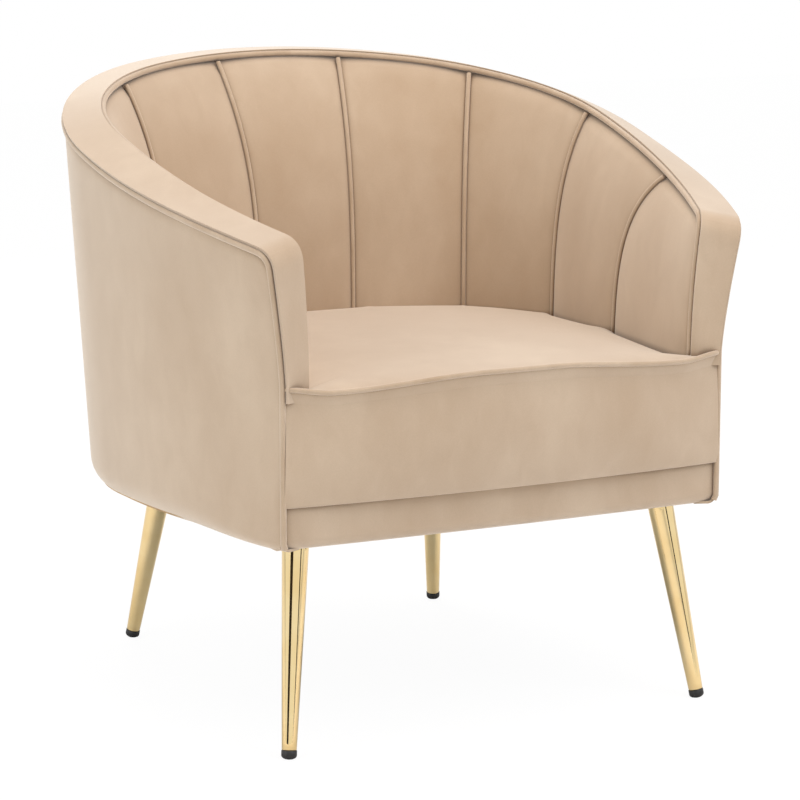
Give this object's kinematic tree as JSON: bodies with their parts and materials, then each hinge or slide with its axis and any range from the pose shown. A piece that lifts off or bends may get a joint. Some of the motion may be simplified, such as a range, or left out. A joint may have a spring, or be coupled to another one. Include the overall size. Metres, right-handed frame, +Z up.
{
  "type": "barrel accent chair",
  "caption": "Upholstered barrel armchair with a channelled, piped back that wraps into the arms, a fixed crowned seat and splayed tapered metal legs with push-in glides.",
  "frame": {"origin": "on the floor, under the middle of the chair's overall box", "axes": "+Z up, +Y to the back of the chair, -Y the way a sitter faces, +X to the picture's right"},
  "size_m": [0.7546, 0.702, 0.7507],
  "materials": {
    "velvet": "short-pile beige velvet over foam",
    "piping": "velvet-covered piping cord",
    "frame_wood": "planed hardwood",
    "plywood": "bent plywood",
    "webbing": "woven elastic webbing",
    "dust_cloth": "thin non-woven cloth",
    "gold_metal": "polished gold plating",
    "glide_plastic": "black moulded plastic",
    "zinc_steel": "zinc plated"
  },
  "bodies": {
    "root": {"outer_cover": "velvet", "rim_band": "velvet", "arm_front_left": "velvet", "arm_front_right": "velvet", "seat_cushion": "velvet", "seat_front_boxing": "velvet", "front_rail_cover": "velvet", "back_channel_1": "velvet", "back_channel_2": "velvet", "back_channel_3": "velvet", "back_channel_4": "velvet", "back_channel_5": "velvet", "back_channel_6": "velvet", "back_channel_7": "velvet", "back_channel_8": "velvet", "back_channel_9": "velvet", "channel_welts": "piping", "outer_welt": "piping", "inner_welt": "piping", "seat_welt": "piping", "base_rail_back": "frame_wood", "base_rail_left": "frame_wood", "base_rail_right": "frame_wood", "front_rail": "frame_wood", "corner_blocks": "frame_wood", "top_rail": "frame_wood", "shell_board": "plywood", "seat_straps_long": "webbing", "seat_straps_cross": "webbing", "dust_cover": "dust_cloth", "leg_front_left": "gold_metal", "leg_front_right": "gold_metal", "leg_back_left": "gold_metal", "leg_back_right": "gold_metal", "foot_front_left": "glide_plastic", "foot_front_right": "glide_plastic", "foot_back_left": "glide_plastic", "foot_back_right": "glide_plastic", "leg_studs": "zinc_steel", "tee_nuts": "zinc_steel"}
  },
  "joints": []
}
